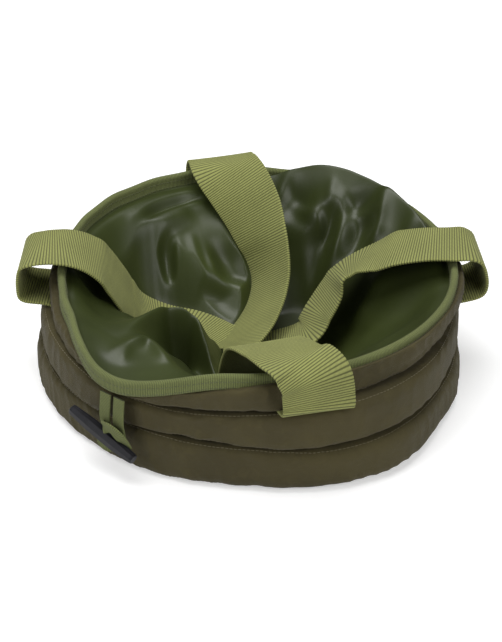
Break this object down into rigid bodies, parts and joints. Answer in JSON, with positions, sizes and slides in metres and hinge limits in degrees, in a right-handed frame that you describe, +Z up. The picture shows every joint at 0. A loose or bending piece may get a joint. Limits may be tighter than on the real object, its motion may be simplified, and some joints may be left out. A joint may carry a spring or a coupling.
{
  "type": "collapsible bucket",
  "caption": "Soft collapsible camping bucket folded flat, with rolled nylon walls, a coated lining, a taped rim, crossed webbing carry straps and a toggle on a narrow loop.",
  "frame": {"origin": "centre of the base's underside, which rests on the ground", "axes": "+Z up out of the bucket's mouth, +Y towards the back strap, -Y towards the front strap, -X towards the left strap"},
  "size_m": [0.3416, 0.3416, 0.1059],
  "materials": {
    "nylon": "matt woven",
    "coated_lining": "glossy coating",
    "webbing": "ribbed",
    "binding_tape": "ribbed",
    "hoop_wire": "plain",
    "rim_cord": "plain",
    "toggle": "satin"
  },
  "bodies": {
    "base": {"base_panel": "nylon", "lining_floor": "coated_lining", "lower_roll_bottom": "nylon", "lining_lower": "coated_lining"},
    "lower_hoop": {"lower_hoop": "hoop_wire", "lower_roll_top": "nylon", "middle_roll_bottom": "nylon", "lining_middle": "coated_lining"},
    "upper_hoop": {"upper_hoop": "hoop_wire", "middle_roll_top": "nylon", "upper_roll_bottom": "nylon", "back_strap_end": "webbing", "left_strap_end": "webbing", "front_strap_end": "webbing", "right_strap_end": "webbing", "lining_upper": "coated_lining"},
    "rim": {"upper_roll_top": "nylon", "rim_binding": "binding_tape", "rim_cord": "rim_cord", "back_strap_loop": "webbing", "left_strap_loop": "webbing", "front_strap_loop": "webbing", "right_strap_loop": "webbing"},
    "straps": {"front_back_strap": "webbing", "left_right_strap": "webbing"},
    "toggle_loop": {"toggle_loop": "webbing"},
    "toggle": {"toggle_bar": "toggle"}
  },
  "joints": [
    {"name": "lower_hoop_raise", "type": "slide", "parent": "base", "child": "lower_hoop", "axis": [0, 0, 1], "range_m": [0, 0.044], "deforming": ["lining_lower"]},
    {"name": "upper_hoop_raise", "type": "slide", "parent": "lower_hoop", "child": "upper_hoop", "axis": [0, 0, 1], "range_m": [0, 0.044], "deforming": ["lining_middle"]},
    {"name": "rim_raise", "type": "slide", "parent": "upper_hoop", "child": "rim", "axis": [0, 0, 1], "range_m": [0, 0.044], "deforming": ["lining_upper"]},
    {"name": "straps_raise", "type": "slide", "parent": "rim", "child": "straps", "axis": [0, 0, 1], "range_m": [0, 0.13]},
    {"name": "toggle_loop_swing", "type": "hinge", "parent": "rim", "child": "toggle_loop", "pos_m": [-0.11202, -0.116, 0.06437], "axis": [-0.6402, 0.7682, 0], "range_deg": [0, 120]},
    {"name": "toggle_turn", "type": "hinge", "parent": "toggle_loop", "child": "toggle", "pos_m": [-0.1147, -0.11824, 0.02817], "axis": [0.6122, -0.7346, -0.2924], "continuous": true}
  ],
  "couplings": [
    {"joint": "upper_hoop_raise", "follows": "lower_hoop_raise", "ratio": 1},
    {"joint": "rim_raise", "follows": "lower_hoop_raise", "ratio": 1}
  ]
}
